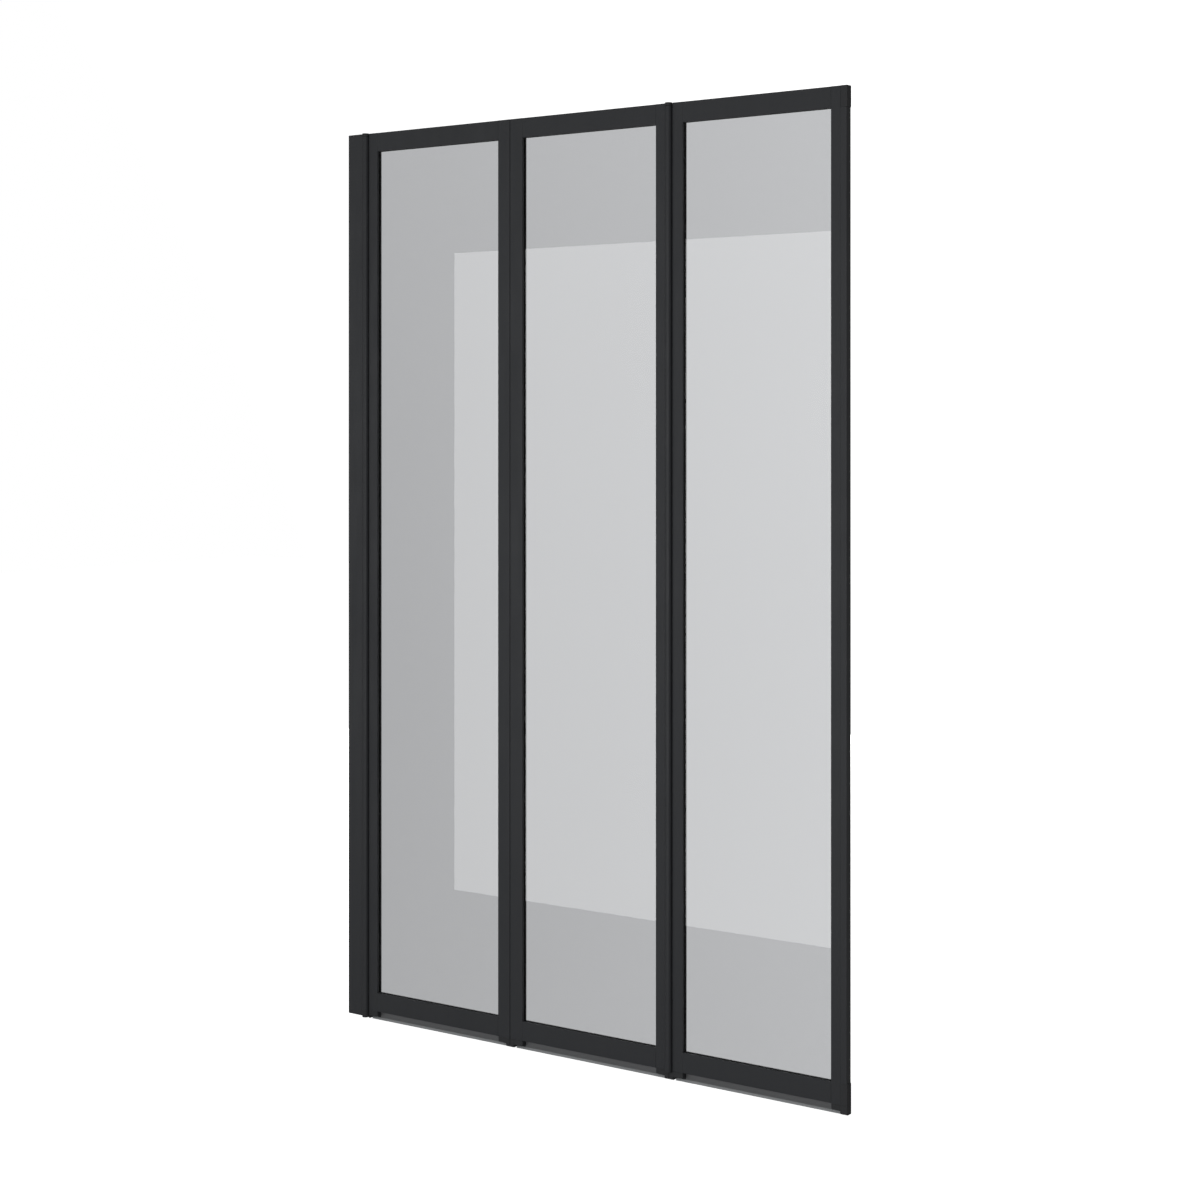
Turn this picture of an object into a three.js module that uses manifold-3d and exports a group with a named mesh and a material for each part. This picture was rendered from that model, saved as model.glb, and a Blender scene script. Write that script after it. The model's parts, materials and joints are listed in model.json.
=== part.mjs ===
// Three-panel folding bath screen: a wall post and three framed panes that fold
// as a concertina on upright round-bead hinges. Millimetres, +Z up.
// Origin: on the wall, in the middle of the screen's thickness, level with the bath rim.
// +X runs along the closed screen, away from the wall. The front face looks along -Y.

import * as THREE from "three";
import { mergeVertices } from "three/addons/utils/BufferGeometryUtils.js";
import Module from "manifold-3d";

const wasm = await Module();
wasm.setup();

// ---------------------------------------------------------------- driving dimensions

const SCREEN_HEIGHT = 1400; // rim to the top of the hinge beads
const FRAME_TOP = 1399.6; // top of the frames and the wall post
const FRAME_BOTTOM = 14.4; // underside of the frames, above the rim
const RAIL = 29.3; // height of the top and bottom rails
const FACE = 6; // half the thickness of the frames

const FIRST_AXIS = 35.8; // wall to the first hinge axis
const PITCH = 287.1; // hinge axis to hinge axis
const HINGE_STILE = 23.7; // axis to the pane opening, on a panel's wall side
const TUBE_STILE = 22.5; // pane opening to the next axis, on its free side
const SEAM = 0.4; // from an axis plane to the edge of either stile

const BEAD_R = 5.3; // hinge bead
const BORE_R = 3.2;
const AXIS_OFFSET = 0.8; // hinge axis outside the face it folds on
const SCOOP_R = 6.1; // hollow in the turning stile, around the bead
const NOTCH_R = 5.8; // room in the fixed stile for the turning knuckle
const PIN_R = 2;
const PIN_SIDES = 20; // facets round the pins, the bushes and their bore
const BEAD_SIDES = 32;
const CURVE_STEPS = 3; // facets in a rounded corner
const BUSH_INNER_R = 2.25;
const BUSH_OUTER_R = 3;
const BUSH_LENGTH = 16;
const KNUCKLE = 4.6; // height of the top knuckle
const KNUCKLE_GAP = 0.4; // between a knuckle and the bead it turns on
const TOP_ARM = 9; // from the axis to the end of a top knuckle's arm
const FOOT_ARM = 7; // and of a bottom knuckle's arm
const NECK_X = 5.8; // from the axis to the neck between a foot and its plug
const NECK_DEPTH = 3;
const ARM_FRONT = 2.2; // from the hinge face of a stile to the arm
const ARM_GAP = 0.3; // room round a top arm in its stile
const PLUG = 15; // how far a plug goes into a hollow section

const GROOVE_DEPTH = 9; // glazing groove
const GROOVE_HALF = 3.5;
const WALL = 1.5; // wall of the aluminium sections
const KEY_ROOT = 6; // how far a rail's key reaches back inside the rail
const SEAL_POCKET = 2; // depth of the hinge seal's pocket in the seam edge
const SEAL_INNER = 1.8; // the pocket lies between these distances from mid-thickness
const SEAL_OUTER = 4.6;
const GLASS_HALF = 2; // half of 4 mm glass
const GLASS_BITE = 7; // glass edge inside the groove
const GASKET_HALF = 3.3;
const GASKET_BITE = 8.5;
const GASKET_LIP = 0.4; // gasket showing inside the opening

const SEAL_FRONT = 2.9; // drip seal, near the back face
const SEAL_BACK = 4.9;
const SEAL_SLOT = 5.2; // depth of its slot in the bottom rail
const BLADE_ROUND = 0.5;
const LIP_TOP = 3.1; // the lip hangs from the blade and reaches the rim
const LIP_SWEEP = 2.6; // how far it sweeps forward on its way down
const LIP_EDGE = 0.7; // its thickness at the rim
const BLOCK_BOTTOM = 6.3; // underside of the blocks at the ends of the drip seal
const BLOCK_ROUND = 2; // rounding of a block's inner end
const PEG_HALF = 2.4; // half the thickness of the peg that holds a block
const FOOT_WIDTH = 6.8;
const FOOT_BOTTOM = 1.7; // underside of the feet
const FOOT_ROUND = 1.8; // rounded lower edges of a foot

// underside of the knuckle on a foot, and whether the foot is hollowed round it
const WALL_FOOT = { knuckle: 3.2, scooped: true };
const SEAM_FOOT = { knuckle: 12.2, scooped: false };

const CHANNEL_HALF = 7.2; // half the depth of the wall channel
const CHANNEL_WALL = 1.7;
const CHANNEL_LENGTH = 29.7; // wall to the tips of its flanges
const CHANNEL_BOTTOM = 4;
const WALL_CAP = 1.6; // thickness of the channel's end caps
const POST_BACK = 6; // wall to the hinge post inside the channel
const GUIDE_GAP = 0.3; // between the post and the channel it slides in
const CHANNEL_WEB = 2.4; // wall of the channel that lies on the wall
const WALL_HOLE_R = 2.75;
const SCREW_HEIGHTS = [200, 700, 1200];
const SCREW_X = 16; // wall to the screws
const SCREW_SIDES = 16;
const SCREW_LENGTH = 7.4;
const SCREW_POINT = 1.4; // length of its tapered point
const SCREW_R = 1.75;
const SCREW_TIP_R = 0.6;
const SCREW_HEAD_R = 3.6;
const SLOT_LENGTH = 2.8;
const SLOT_WIDTH = 0.7;
const SLOT_DEPTH = 0.8;
const CAP_LEG = 12; // how far a cap's leg reaches into the channel
const CAP_LEG_HALF = 3;
const WALL_HOLE_HEIGHTS = [100, 500, 900, 1300];

const EDGE_START = 889.1; // joint between the last stile and its edge profile
const EDGE_END = 899.1;
const CORNER_END = 900; // the corner caps stand a little proud
const NOSE_R = 1.4; // rounding of the free edge
const CORNER_R = 1.6; // and of the corner caps
const CAP_PROUD = 0.2; // how far the top corner cap stands over the frame

const FIT = 0.1; // hairline joint between fixed pieces
const SLIP = 0.2; // a piece inside a groove or a chamber
const OVER = 1; // how far a cutter runs past what it cuts
const EDGE_R = 0.8; // softened outer edges

const FRONT = -1; // a hinge on the front face
const BACK = 1;

// derived heights and widths
const OPENING_BOTTOM = FRAME_BOTTOM + RAIL;
const OPENING_TOP = FRAME_TOP - RAIL;
const OPENING_END = PITCH - TUBE_STILE; // in a panel's own x, from its axis
const TUBE_TOP = SCREEN_HEIGHT - KNUCKLE - KNUCKLE_GAP;
const CHAMBER_HALF = FACE - WALL + FIT;

// ---------------------------------------------------------------- finishes

const finish = (color, roughness, metalness, extra = {}) =>
  new THREE.MeshStandardMaterial({ color, roughness, metalness, ...extra });

const frameFinish = () => finish(0x34363a, 0.45, 0.6);
const plasticFinish = () => finish(0x26272a, 0.6, 0);
const glassFinish = () => finish(0xb5bcc0, 0.05, 0, { transparent: true, opacity: 0.4 });
const rubberFinish = () => finish(0x161718, 0.8, 0);
const sealFinish = () => finish(0x6a6d70, 0.5, 0);
const lipFinish = () => finish(0xa9adb0, 0.4, 0, { transparent: true, opacity: 0.7 });
const steelFinish = () => finish(0x9a9da0, 0.35, 1);
const bushFinish = () => finish(0xd8d8d2, 0.5, 0);

// ---------------------------------------------------------------- shape helpers

/** A closed outline; a corner [x, y, r] is rounded to radius r. */
function outline(corners) {
  const shape = new THREE.Shape();
  const count = corners.length;
  corners.forEach(([x, y, r = 0], i) => {
    const here = new THREE.Vector2(x, y);
    if (r === 0) {
      if (i === 0) shape.moveTo(x, y);
      else shape.lineTo(x, y);
      return;
    }
    const [px, py] = corners[(i + count - 1) % count];
    const [nx, ny] = corners[(i + 1) % count];
    const into = new THREE.Vector2(px, py).sub(here).setLength(r).add(here);
    const out = new THREE.Vector2(nx, ny).sub(here).setLength(r).add(here);
    if (i === 0) shape.moveTo(into.x, into.y);
    else shape.lineTo(into.x, into.y);
    shape.quadraticCurveTo(x, y, out.x, out.y);
  });
  return shape;
}

const rectangle = (x0, y0, x1, y1, r = 0) =>
  outline([[x0, y0, r], [x1, y0, r], [x1, y1, r], [x0, y1, r]]);

function toSolid(geometry) {
  geometry.deleteAttribute("normal");
  geometry.deleteAttribute("uv");
  const merged = mergeVertices(geometry, 1e-4);
  return new wasm.Manifold(new wasm.Mesh({
    numProp: 3,
    vertProperties: new Float32Array(merged.attributes.position.array),
    triVerts: new Uint32Array(merged.index.array),
  }));
}

function toGeometry(solid) {
  const { vertProperties, triVerts } = solid.getMesh();
  const geometry = new THREE.BufferGeometry();
  geometry.setAttribute("position", new THREE.BufferAttribute(new Float32Array(vertProperties), 3));
  geometry.setIndex(new THREE.BufferAttribute(new Uint32Array(triVerts), 1));
  geometry.computeVertexNormals();
  return geometry;
}

/** A plan outline (x, y) raised from z0 to z1. */
function upright(shape, z0, z1) {
  const geometry = new THREE.ExtrudeGeometry(shape, {
    depth: z1 - z0, bevelEnabled: false, curveSegments: CURVE_STEPS,
  });
  geometry.translate(0, 0, z0);
  return toSolid(geometry);
}

/** A section outline (y, z) run from x0 to x1. */
function lengthwise(shape, x0, x1) {
  const geometry = new THREE.ExtrudeGeometry(shape, {
    depth: x1 - x0, bevelEnabled: false, curveSegments: CURVE_STEPS,
  });
  geometry.applyMatrix4(new THREE.Matrix4().set(
    0, 0, 1, x0,
    1, 0, 0, 0,
    0, 1, 0, 0,
    0, 0, 0, 1,
  ));
  return toSolid(geometry);
}

/** A block between two opposite corners; x and y may be given in either order. */
function box(x0, y0, z0, x1, y1, z1) {
  const geometry = new THREE.BoxGeometry(Math.abs(x1 - x0), Math.abs(y1 - y0), z1 - z0);
  geometry.translate((x0 + x1) / 2, (y0 + y1) / 2, (z0 + z1) / 2);
  return toSolid(geometry);
}

/** An upright cylinder at (x, y) from z0 to z1. */
function rod(x, y, r, z0, z1, sides = BEAD_SIDES) {
  const geometry = new THREE.CylinderGeometry(r, r, z1 - z0, sides);
  geometry.rotateX(Math.PI / 2);
  geometry.translate(x, y, (z0 + z1) / 2);
  return toSolid(geometry);
}

function moved(solid, dx) {
  const geometry = toGeometry(solid);
  geometry.translate(dx, 0, 0);
  return toSolid(geometry);
}

const join = (...solids) => solids.reduce((whole, next) => whole.add(next));
const cut = (solid, ...tools) => tools.reduce((rest, tool) => rest.subtract(tool), solid);

const screen = new THREE.Group();

function addPiece(group, name, solid, material) {
  const mesh = new THREE.Mesh(toGeometry(solid), material);
  mesh.name = name;
  group.add(mesh);
}

// ---------------------------------------------------------------- hinge parts
// All in a frame with the hinge axis plane at x = 0. side is FRONT or BACK.

const axisY = (side) => side * (FACE + AXIS_OFFSET);

/** The hollow inside a turning stile, between the bead's scoop and the glazing groove. */
function hingeChamber(side, gap = 0) {
  const near = SEAM + SEAL_POCKET + WALL + gap;
  const besideScoop = SCOOP_R + WALL + gap;
  const far = HINGE_STILE - GROOVE_DEPTH - WALL - gap;
  const half = CHAMBER_HALF - gap;
  return outline([
    [besideScoop, side * half],
    [far, side * half],
    [far, -side * half],
    [near, -side * half],
    [near, -side * gap],
  ]);
}

/** The hollow inside a stile that carries a bead. */
function tubeChamber(side, gap = 0) {
  const near = -SEAM - WALL - gap;
  const besideBead = -BEAD_R - WALL - gap;
  const far = -TUBE_STILE + GROOVE_DEPTH + WALL + gap;
  const half = CHAMBER_HALF - gap;
  return outline([
    [far, side * half],
    [far, -side * half],
    [near, -side * half],
    [near, -side * gap],
    [besideBead, side * half],
  ]);
}

/** The bead: a tube along the axis, bored for the pins' bushes. */
function beadTube(side) {
  const y = axisY(side);
  return {
    tube: rod(0, y, BEAD_R, FRAME_BOTTOM, TUBE_TOP),
    bore: rod(0, y, BORE_R, FRAME_BOTTOM - OVER, TUBE_TOP + OVER, PIN_SIDES),
    topNotch: rod(0, y, NOTCH_R, TUBE_TOP, SCREEN_HEIGHT + OVER),
    bottomNotch: rod(0, y, NOTCH_R, -OVER, FRAME_BOTTOM),
  };
}

function bush(side, z0) {
  const y = axisY(side);
  return cut(
    rod(0, y, BUSH_OUTER_R, z0, z0 + BUSH_LENGTH, PIN_SIDES),
    rod(0, y, BUSH_INNER_R, z0 - OVER, z0 + BUSH_LENGTH + OVER, PIN_SIDES),
  );
}

/** The arm that ties a knuckle to its stile, behind the bead. */
function arm(side, length, z0, z1, gap = 0) {
  return box(-gap, side * (FACE - ARM_FRONT + gap), z0, length + gap, -side * gap, z1);
}

/** Ties a foot to the plug above it, in the half of the thickness away from the bead. */
const footNeck = (side, x) =>
  box(x - OVER, 0, FRAME_BOTTOM - OVER, x + OVER, -side * NECK_DEPTH, FRAME_BOTTOM + OVER);

/** Top pivot: a knuckle over the bead, a pin down into it and a plug in the stile. */
function topPivot(side) {
  const y = axisY(side);
  const z0 = SCREEN_HEIGHT - KNUCKLE;
  const bridge = cut(
    arm(side, TOP_ARM, z0, FRAME_TOP - SLIP),
    box(-2 * OVER, -FACE, z0 - OVER, 0, FACE, SCREEN_HEIGHT),
  );
  return join(
    rod(0, y, BEAD_R, z0, SCREEN_HEIGHT),
    rod(0, y, PIN_R, z0 - BUSH_LENGTH, z0 + OVER, PIN_SIDES),
    bridge,
    upright(hingeChamber(side, SLIP), z0 - PLUG, FRAME_TOP - SLIP),
  );
}

/** A foot under the frames, rounded along its lower edges. */
function footBlock(x0, x1) {
  const top = FRAME_BOTTOM - SLIP;
  return lengthwise(outline([
    [-FACE, FOOT_BOTTOM, FOOT_ROUND], [FACE, FOOT_BOTTOM, FOOT_ROUND], [FACE, top], [-FACE, top],
  ]), x0, x1);
}

/** Bottom pivot: foot, knuckle under the bead, pin up into it and a plug in the stile. */
function bottomPivot(side, { knuckle, scooped }) {
  const y = axisY(side);
  const top = FRAME_BOTTOM - SLIP;
  const solid = footBlock(SEAM, SEAM + FOOT_WIDTH);
  const foot = scooped ? cut(solid, rod(0, y, SCOOP_R, 0, FRAME_BOTTOM)) : solid;
  return join(
    foot,
    rod(0, y, BEAD_R, knuckle, top),
    rod(0, y, PIN_R, top - OVER, top + BUSH_LENGTH, PIN_SIDES),
    arm(side, FOOT_ARM, knuckle, top),
    upright(hingeChamber(side, SLIP), top, top + PLUG),
    footNeck(side, NECK_X),
  );
}

/** The foot under a stile that carries a bead, cleared for the turning knuckle. */
function tubeFoot(side) {
  const top = FRAME_BOTTOM - SLIP;
  const room = rod(0, axisY(side), NOTCH_R, SEAM_FOOT.knuckle - 2 * SLIP, FRAME_BOTTOM);
  return join(
    cut(footBlock(-SEAM - FOOT_WIDTH, -SEAM), room),
    upright(tubeChamber(side, SLIP), top, top + PLUG),
    footNeck(side, -NECK_X),
  );
}

const tubePlug = (side) => upright(tubeChamber(side, SLIP), FRAME_TOP - PLUG, FRAME_TOP - SLIP);

// ---------------------------------------------------------------- wall post

/** A countersunk screw through the channel's back flange, and the room it takes. */
function lockScrew(z) {
  const turned = (grow) => {
    const points = [
      [0, -SCREW_LENGTH], [SCREW_TIP_R + grow, -SCREW_LENGTH],
      [SCREW_R + grow, SCREW_POINT - SCREW_LENGTH], [SCREW_R + grow, SCREW_R - SCREW_HEAD_R],
      [SCREW_HEAD_R + grow, 0], [0, 0],
    ].map(([r, y]) => new THREE.Vector2(r, y));
    const geometry = new THREE.LatheGeometry(points, SCREW_SIDES);
    geometry.translate(SCREW_X, CHANNEL_HALF, z);
    return toSolid(geometry);
  };
  const slot = box(
    SCREW_X - SLOT_LENGTH / 2, CHANNEL_HALF - SLOT_DEPTH, z - SLOT_WIDTH / 2,
    SCREW_X + SLOT_LENGTH / 2, CHANNEL_HALF + OVER, z + SLOT_WIDTH / 2,
  );
  return { screw: cut(turned(0), slot), clearance: turned(SLIP) };
}

function buildWallPost(group) {
  const side = FRONT;
  const capTop = FRAME_TOP - WALL_CAP;
  const capBottom = CHANNEL_BOTTOM + WALL_CAP;
  const axis = FIRST_AXIS;

  // U-shaped channel, screwed to the wall through its web
  const cavity = CHANNEL_HALF - CHANNEL_WALL;
  let channel = upright(outline([
    [0, -CHANNEL_HALF, EDGE_R], [CHANNEL_LENGTH, -CHANNEL_HALF, EDGE_R],
    [CHANNEL_LENGTH, -cavity], [CHANNEL_WEB, -cavity],
    [CHANNEL_WEB, cavity], [CHANNEL_LENGTH, cavity],
    [CHANNEL_LENGTH, CHANNEL_HALF, EDGE_R], [0, CHANNEL_HALF, EDGE_R],
  ]), capBottom + FIT, capTop - FIT);
  for (const z of WALL_HOLE_HEIGHTS) {
    const hole = new THREE.CylinderGeometry(WALL_HOLE_R, WALL_HOLE_R, 3 * CHANNEL_WEB, SCREW_SIDES);
    hole.rotateZ(Math.PI / 2);
    hole.translate(CHANNEL_WEB, 0, z);
    channel = cut(channel, toSolid(hole));
  }

  // hinge post: slides in the channel to take up an uneven wall, and carries the first bead
  const { tube, bore, topNotch, bottomNotch } = beadTube(side);
  const inner = cavity - GUIDE_GAP;
  const slim = rectangle(POST_BACK - axis, -inner, CHANNEL_LENGTH + FIT - axis, inner);
  const full = outline([
    [CHANNEL_LENGTH + FIT - axis, -FACE], [-SEAM, -FACE],
    [-SEAM, FACE, EDGE_R], [CHANNEL_LENGTH + FIT - axis, FACE],
  ]);
  const hollow = rectangle(
    POST_BACK + WALL - axis, -inner + WALL, -SCOOP_R - WALL, inner - WALL,
  );
  const z0 = capBottom + FIT;
  const z1 = capTop - FIT;
  let post = join(upright(slim, z0, z1), upright(full, z0, z1));
  post = cut(post, upright(hollow, z0 - OVER, z1 + OVER), topNotch, bottomNotch);
  post = cut(join(post, tube), bore);

  // countersunk screws lock the post in the channel, through the back flange
  const screws = SCREW_HEIGHTS.map((z) => lockScrew(z));
  for (const { clearance } of screws) {
    channel = cut(channel, clearance);
    post = cut(post, moved(clearance, -axis));
  }

  // one plastic cap closes channel and post at each end
  const capPlan = outline([
    [0, -CHANNEL_HALF, EDGE_R], [CHANNEL_LENGTH, -CHANNEL_HALF], [CHANNEL_LENGTH, -FACE],
    [axis - SEAM, -FACE], [axis - SEAM, FACE, EDGE_R],
    [CHANNEL_LENGTH, FACE], [CHANNEL_LENGTH, CHANNEL_HALF], [0, CHANNEL_HALF, EDGE_R],
  ]);
  const notch = (z) => rod(axis, axisY(side), NOTCH_R, z - OVER, z + WALL_CAP + OVER);
  const leg = (low, high) => box(
    CHANNEL_WEB + SLIP, -CAP_LEG_HALF, low, POST_BACK - SLIP, CAP_LEG_HALF, high,
  );
  const topCap = join(
    cut(upright(capPlan, capTop, FRAME_TOP), notch(capTop)),
    leg(capTop - CAP_LEG, capTop + OVER),
  );
  const bottomCap = join(
    cut(upright(capPlan, CHANNEL_BOTTOM, capBottom), notch(CHANNEL_BOTTOM)),
    leg(capBottom - OVER, capBottom + CAP_LEG),
  );

  addPiece(group, "wall_channel", channel, frameFinish());
  addPiece(group, "wall_cap_top", topCap, plasticFinish());
  addPiece(group, "wall_cap_bottom", bottomCap, plasticFinish());
  screws.forEach(({ screw }, i) => addPiece(group, `lock_screw_${i + 1}`, screw, steelFinish()));

  const hinge = new THREE.Group();
  hinge.position.x = axis;
  addPiece(hinge, "hinge_post", post, frameFinish());
  addBushes(hinge, "wall", side);
  group.add(hinge);
}

function addBushes(group, name, side) {
  addPiece(group, `${name}_bush_bottom`, bush(side, FRAME_BOTTOM + SLIP), bushFinish());
  addPiece(group, `${name}_bush_top`, bush(side, TUBE_TOP - SLIP - BUSH_LENGTH), bushFinish());
}

// ---------------------------------------------------------------- panels
// Each panel is drawn with its own hinge axis at x = 0 and the next axis at x = PITCH.

/** Stile on the wall side of a panel: hollowed round the bead it turns about. */
function hingeStile(side) {
  const near = [SEAM, side * FACE];
  const far = [SEAM, -side * FACE, EDGE_R];
  const body = upright(outline([
    near, far, [HINGE_STILE, -side * FACE, EDGE_R / 2], [HINGE_STILE, side * FACE, EDGE_R / 2],
  ]), FRAME_BOTTOM, FRAME_TOP);
  const z0 = FRAME_BOTTOM - OVER;
  const z1 = FRAME_TOP + OVER;
  return cut(
    body,
    rod(0, axisY(side), SCOOP_R, z0, z1),
    upright(hingeChamber(side), z0, z1),
    box(HINGE_STILE - GROOVE_DEPTH, -GROOVE_HALF, z0, HINGE_STILE + OVER, GROOVE_HALF, z1),
    box(-OVER, -side * SEAL_INNER, z0, SEAM + SEAL_POCKET, -side * SEAL_OUTER, z1),
    arm(side, TOP_ARM, TUBE_TOP, z1, ARM_GAP),
  );
}

/** Stile on the free side of panels 1 and 2: carries the next hinge's bead. */
function tubeStile(side) {
  const body = upright(outline([
    [-TUBE_STILE, -FACE, EDGE_R / 2], [-SEAM, -FACE, side === BACK ? EDGE_R : 0],
    [-SEAM, FACE, side === FRONT ? EDGE_R : 0], [-TUBE_STILE, FACE, EDGE_R / 2],
  ]), FRAME_BOTTOM, FRAME_TOP);
  const z0 = FRAME_BOTTOM - OVER;
  const z1 = FRAME_TOP + OVER;
  const { tube, bore, topNotch } = beadTube(side);
  const hollowed = cut(
    body,
    topNotch,
    upright(tubeChamber(side), z0, z1),
    box(-TUBE_STILE - OVER, -GROOVE_HALF, z0, -TUBE_STILE + GROOVE_DEPTH, GROOVE_HALF, z1),
  );
  return cut(join(hollowed, tube), bore);
}

/** A rail butts between the stiles and is keyed into their glazing grooves. */
function topRail() {
  const x0 = HINGE_STILE + FIT;
  const x1 = OPENING_END - FIT;
  const groove = OPENING_TOP + GROOVE_DEPTH;
  const body = lengthwise(outline([
    [-FACE, OPENING_TOP, EDGE_R / 2], [-GROOVE_HALF, OPENING_TOP], [-GROOVE_HALF, groove],
    [GROOVE_HALF, groove], [GROOVE_HALF, OPENING_TOP], [FACE, OPENING_TOP, EDGE_R / 2],
    [FACE, FRAME_TOP, EDGE_R], [-FACE, FRAME_TOP, EDGE_R],
  ]), x0, x1);
  const hollow = rectangle(-CHAMBER_HALF, groove + WALL, CHAMBER_HALF, FRAME_TOP - WALL);
  const keys = railKeys(groove + SLIP, FRAME_TOP - SLIP);
  return join(cut(body, lengthwise(hollow, x0 - OVER, x1 + OVER)), ...keys);
}

function bottomRail() {
  const x0 = HINGE_STILE + FIT;
  const x1 = OPENING_END - FIT;
  const groove = OPENING_BOTTOM - GROOVE_DEPTH;
  const slotTop = FRAME_BOTTOM + SEAL_SLOT;
  const body = lengthwise(outline([
    [-FACE, FRAME_BOTTOM, EDGE_R], [SEAL_FRONT - SLIP, FRAME_BOTTOM], [SEAL_FRONT - SLIP, slotTop],
    [SEAL_BACK + SLIP, slotTop], [SEAL_BACK + SLIP, FRAME_BOTTOM], [FACE, FRAME_BOTTOM],
    [FACE, OPENING_BOTTOM, EDGE_R / 2], [GROOVE_HALF, OPENING_BOTTOM], [GROOVE_HALF, groove],
    [-GROOVE_HALF, groove], [-GROOVE_HALF, OPENING_BOTTOM], [-FACE, OPENING_BOTTOM, EDGE_R / 2],
  ]), x0, x1);
  const hollow = rectangle(-CHAMBER_HALF, slotTop + WALL, CHAMBER_HALF, groove - WALL);
  const keys = railKeys(slotTop + WALL, groove - SLIP);
  return join(cut(body, lengthwise(hollow, x0 - OVER, x1 + OVER)), ...keys);
}

/** Tongues at a rail's two ends. They are rebated into its hollow, so each is one piece with it. */
function railKeys(z0, z1) {
  const half = GROOVE_HALF - SLIP;
  const reach = GROOVE_DEPTH - SLIP;
  return [
    box(HINGE_STILE - reach, -half, z0, HINGE_STILE + KEY_ROOT, half, z1),
    box(OPENING_END - KEY_ROOT, -half, z0, OPENING_END + reach, half, z1),
  ];
}

const glassPane = () => box(
  HINGE_STILE - GLASS_BITE, -GLASS_HALF, OPENING_BOTTOM - GLASS_BITE,
  OPENING_END + GLASS_BITE, GLASS_HALF, OPENING_TOP + GLASS_BITE,
);

/** One U-shaped rubber gasket runs round the edge of the pane. */
function gasket() {
  const slab = (grow, half) => box(
    HINGE_STILE - grow, -half, OPENING_BOTTOM - grow, OPENING_END + grow, half, OPENING_TOP + grow,
  );
  return cut(
    slab(GASKET_BITE, GASKET_HALF),
    slab(-GASKET_LIP, GASKET_HALF + OVER),
    slab(GLASS_BITE + SLIP, GLASS_HALF + SLIP),
  );
}

/** Drip seal: a stiff blade in the rail's slot, with a soft lip that reaches the rim. */
const dripBlade = () => lengthwise(outline([
  [SEAL_FRONT, LIP_TOP + FIT], [SEAL_BACK, LIP_TOP + FIT],
  [SEAL_BACK, FRAME_BOTTOM + SEAL_SLOT - SLIP, BLADE_ROUND],
  [SEAL_FRONT, FRAME_BOTTOM + SEAL_SLOT - SLIP, BLADE_ROUND],
]), HINGE_STILE + SLIP, OPENING_END - SLIP);

/** The lip runs from the foot at the hinge to freeFoot, where the next one starts. */
function dripLip(freeFoot) {
  const foreEdge = SEAL_FRONT - LIP_SWEEP;
  return lengthwise(outline([
    [SEAL_FRONT, LIP_TOP], [foreEdge, 0], [foreEdge + LIP_EDGE, 0], [SEAL_BACK - SLIP, LIP_TOP],
  ]), SEAM + FOOT_WIDTH + SLIP, freeFoot - SLIP);
}

/**
 * End block between a foot, at start, and the drip seal, at end. It carries the end of the lip,
 * and a peg holds it in the stile's glazing groove. inward is 1 or -1, from start towards end.
 */
function endBlock(start, end, inward) {
  const top = FRAME_BOTTOM - SLIP;
  const plan = outline([
    [start, -FACE], [end, -FACE, BLOCK_ROUND], [end, FACE, BLOCK_ROUND], [start, FACE],
  ]);
  const pegStart = end - inward * (GROOVE_DEPTH - SLIP);
  return join(
    upright(plan, BLOCK_BOTTOM, top),
    box(start, SEAL_FRONT, LIP_TOP + FIT, end, SEAL_BACK - SLIP, BLOCK_BOTTOM + OVER),
    box(pegStart, -PEG_HALF, top - OVER, end - inward, PEG_HALF, FRAME_BOTTOM + SEAL_SLOT),
  );
}

/** Rubber strip in the edge of the turning stile, closing the seam away from the bead. */
function hingeSeal(side) {
  const inner = -side * (SEAL_INNER + SLIP);
  const outer = -side * (SEAL_OUTER - SLIP);
  const plan = rectangle(0, inner, SEAM + SEAL_POCKET - SLIP, outer, SEAM);
  return upright(plan, FRAME_BOTTOM + SLIP, TUBE_TOP - SLIP);
}

function buildPanel(number, hingeSide, foot, freeFoot = PITCH - SEAM - FOOT_WIDTH) {
  const name = (piece) => `panel_${number}_${piece}`;
  const panel = new THREE.Group();
  panel.position.x = FIRST_AXIS + (number - 1) * PITCH;
  const leftBlock = endBlock(SEAM + FOOT_WIDTH + FIT, HINGE_STILE, 1);
  const rightBlock = endBlock(freeFoot - FIT, OPENING_END, -1);

  addPiece(panel, name("hinge_stile"), hingeStile(hingeSide), frameFinish());
  addPiece(panel, name("top_rail"), topRail(), frameFinish());
  addPiece(panel, name("bottom_rail"), bottomRail(), frameFinish());
  addPiece(panel, name("glass"), glassPane(), glassFinish());
  addPiece(panel, name("gasket"), gasket(), rubberFinish());
  addPiece(panel, name("drip_blade"), dripBlade(), sealFinish());
  addPiece(panel, name("drip_lip"), dripLip(freeFoot), lipFinish());
  addPiece(panel, name("end_block_left"), leftBlock, plasticFinish());
  addPiece(panel, name("end_block_right"), rightBlock, plasticFinish());
  addPiece(panel, name("pivot_top"), topPivot(hingeSide), plasticFinish());
  addPiece(panel, name("pivot_bottom"), bottomPivot(hingeSide, foot), plasticFinish());
  addPiece(panel, name("hinge_seal"), hingeSeal(hingeSide), rubberFinish());
  screen.add(panel);
  return panel;
}

/** Panels 1 and 2 end in a stile that carries the next hinge. */
function addTubeSide(panel, number, side) {
  const name = (piece) => `panel_${number}_${piece}`;
  const free = new THREE.Group();
  free.position.x = PITCH;
  addPiece(free, name("tube_stile"), tubeStile(side), frameFinish());
  addPiece(free, name("tube_plug"), tubePlug(side), plasticFinish());
  addPiece(free, name("tube_foot"), tubeFoot(side), plasticFinish());
  addBushes(free, `panel_${number}`, side);
  panel.add(free);
}

// ---------------------------------------------------------------- free edge of panel 3

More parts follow.
